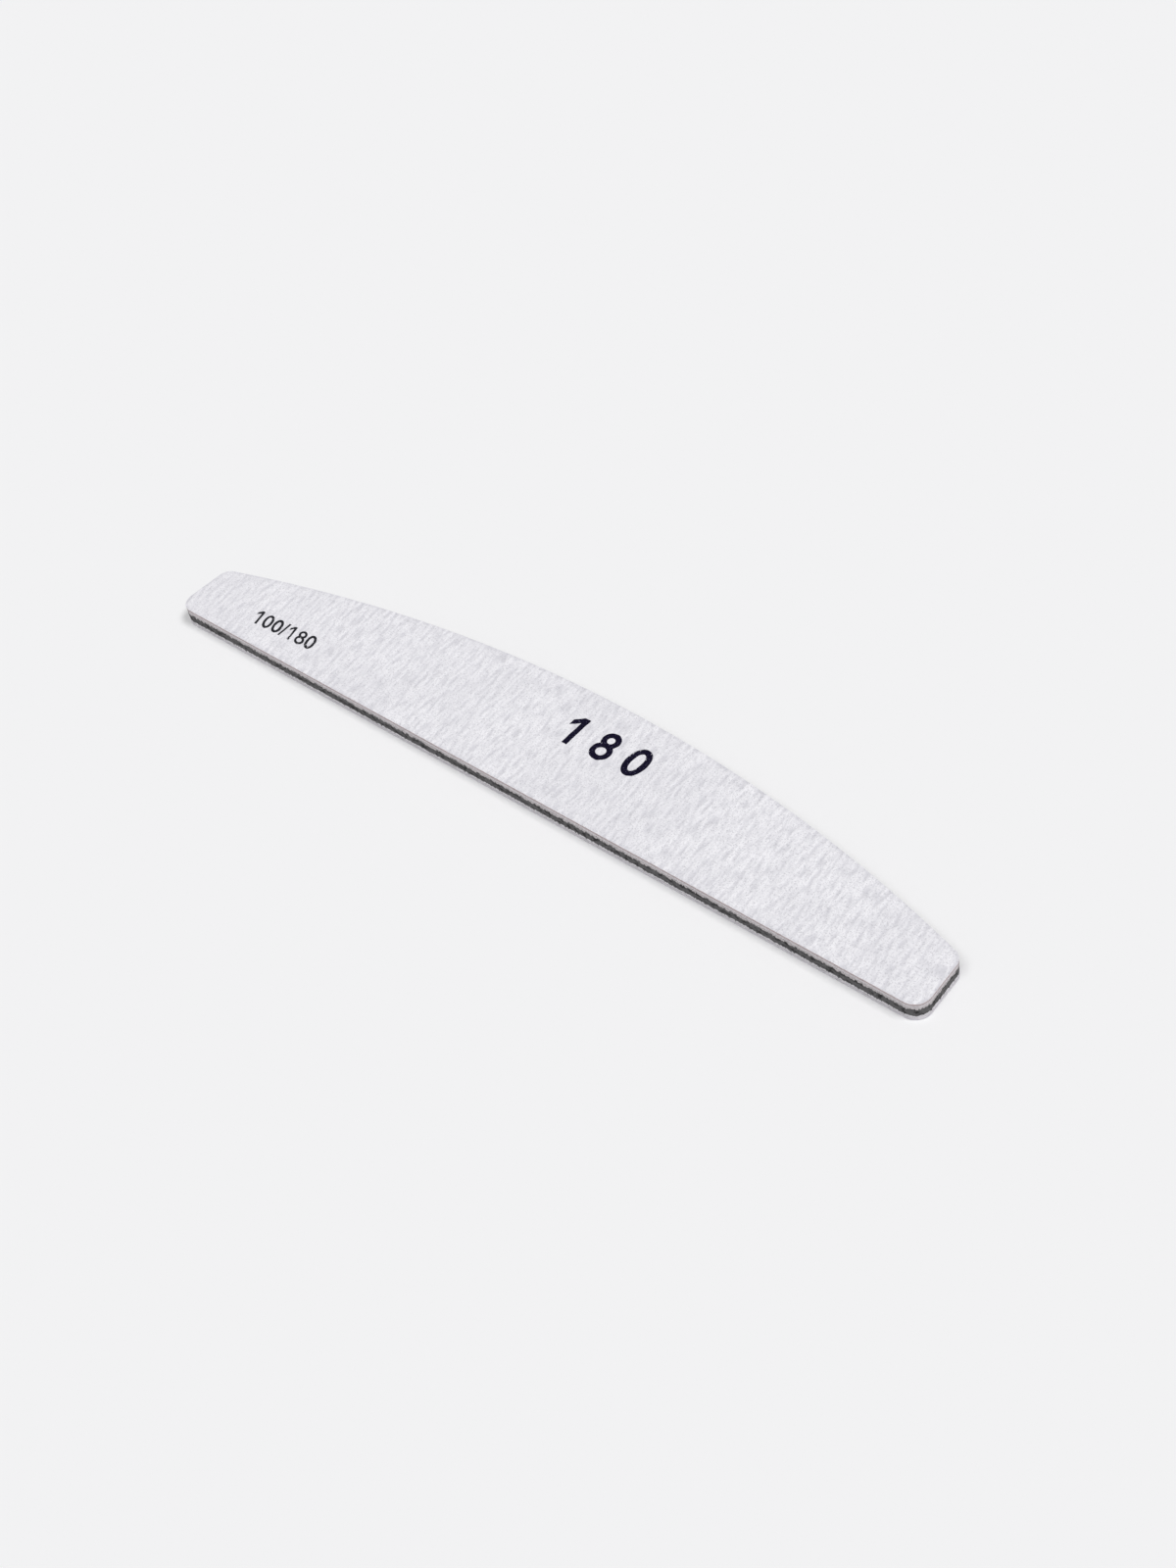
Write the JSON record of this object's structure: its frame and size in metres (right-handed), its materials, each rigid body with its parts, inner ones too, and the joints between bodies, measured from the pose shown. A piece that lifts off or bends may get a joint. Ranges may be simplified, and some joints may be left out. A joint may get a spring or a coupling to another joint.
{
  "type": "emery board",
  "caption": "Half-moon cushioned nail file: a flat die-cut laminate with a coarse and a fine abrasive face over foam, on a stiff dark core.",
  "frame": {"origin": "middle of the coarse face that lies on the table, in the middle of the board's box", "axes": "+X along the board, +Y from the straight edge to the curved edge, +Z from the coarse face to the fine face"},
  "size_m": [0.1776, 0.0262, 0.0042],
  "materials": {
    "fine_grit": "matte",
    "coarse_grit": "matte",
    "backing_paper": "matte",
    "adhesive": "satin",
    "cushion_foam": "matte",
    "core": "matte"
  },
  "bodies": {
    "root": {"coarse_abrasive_coat": "coarse_grit", "lower_backing_paper": "backing_paper", "lower_paper_adhesive": "adhesive", "lower_cushion": "cushion_foam", "lower_core_adhesive": "adhesive", "core_plate": "core", "upper_core_adhesive": "adhesive", "upper_cushion": "cushion_foam", "upper_paper_adhesive": "adhesive", "upper_backing_paper": "backing_paper", "fine_abrasive_coat": "fine_grit"}
  },
  "joints": []
}
